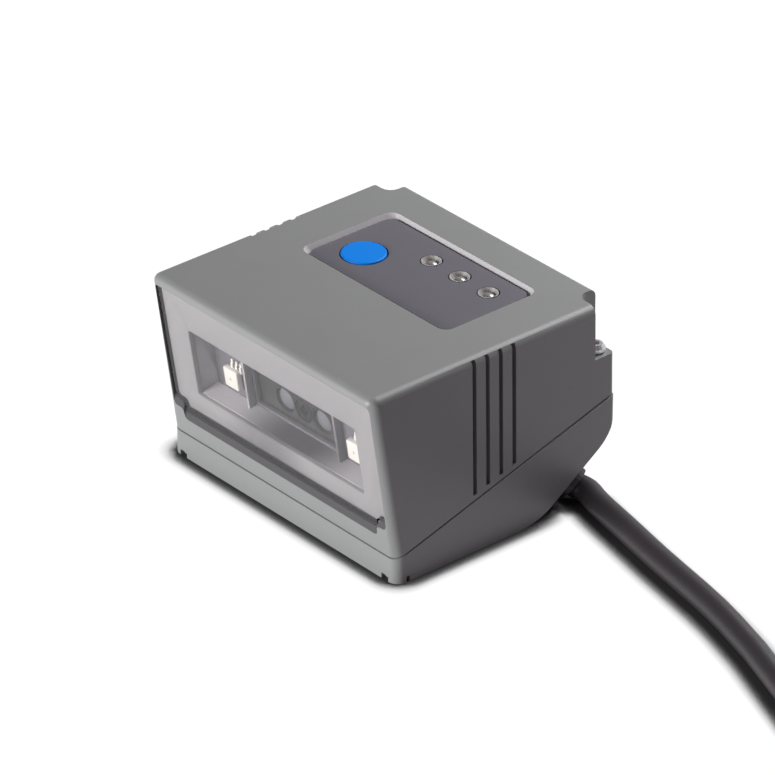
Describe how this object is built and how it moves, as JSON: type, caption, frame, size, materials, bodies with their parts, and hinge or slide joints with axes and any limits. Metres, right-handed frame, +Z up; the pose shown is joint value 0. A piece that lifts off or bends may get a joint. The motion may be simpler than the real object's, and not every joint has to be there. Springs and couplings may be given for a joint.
{
  "type": "fixed barcode reader",
  "caption": "Compact fixed barcode reader with a leaning front window, a top panel with a push key and status lights, and a cable with a plug.",
  "frame": {"origin": "middle of the body's footprint, on the surface that it stands on, with the free cable and plug left out", "axes": "+Z up, -Y out of the window, +X towards the side that the cable leaves near"},
  "size_m": [0.214, 0.0977, 0.0425],
  "materials": {
    "shell_grey": "fine moulded texture, mid grey",
    "window_acrylic": "clear polished acrylic",
    "bezel_grey": "pale grey satin",
    "overlay_grey": "dark grey satin film",
    "key_blue": "smooth blue",
    "plunger_white": "natural white",
    "part_black": "black moulded",
    "board_green": "green solder resist",
    "lens_smoke": "smoky light pipe",
    "led_white": "white lamp package",
    "lens_clear": "polished optical",
    "chassis_black": "dark grey moulded",
    "barrel_black": "black anodised",
    "connector_white": "natural white",
    "ribbon_tan": "amber film",
    "screw_steel": "plated",
    "insert_brass": "knurled brass",
    "gland_rubber": "soft black",
    "cable_black": "black PVC jacket",
    "tie_black": "black nylon",
    "plug_black": "black moulded",
    "shell_steel": "nickel plated"
  },
  "bodies": {
    "reader": {"aiming_lens_left": "lens_clear", "aiming_lens_right": "lens_clear", "beeper": "part_black", "board_ribbon": "ribbon_tan", "cable_coil": "cable_black", "cable_connector": "connector_white", "cable_gland": "gland_rubber", "cable_lead": "cable_black", "cable_tail": "cable_black", "cable_tie": "tie_black", "camera_lens": "lens_clear", "control_overlay": "overlay_grey", "illumination_board": "board_green", "illumination_led_left": "led_white", "illumination_led_right": "led_white", "imager_board": "board_green", "imager_sensor": "part_black", "key_board": "board_green", "key_switch": "part_black", "lens_barrel": "barrel_black", "lower_housing": "shell_grey", "main_board": "board_green", "mount_insert_left": "insert_brass", "mount_insert_right": "insert_brass", "optical_chassis": "chassis_black", "plug_body": "plug_black", "plug_shell": "shell_steel", "processor_chip": "part_black", "rear_screw_left": "screw_steel", "rear_screw_right": "screw_steel", "status_led_1": "led_white", "status_led_2": "led_white", "status_led_3": "led_white", "status_lens_1": "lens_smoke", "status_lens_2": "lens_smoke", "status_lens_3": "lens_smoke", "upper_housing": "shell_grey", "window_bezel": "bezel_grey", "window_pane": "window_acrylic"},
    "key": {"trigger_key": "key_blue", "switch_plunger": "plunger_white"}
  },
  "joints": [
    {"name": "trigger_press", "type": "slide", "parent": "reader", "child": "key", "axis": [0, 0, -1], "range_m": [0, 0.0004], "stiffness_N_per_m": 2500, "springref_m": -0.0001}
  ]
}
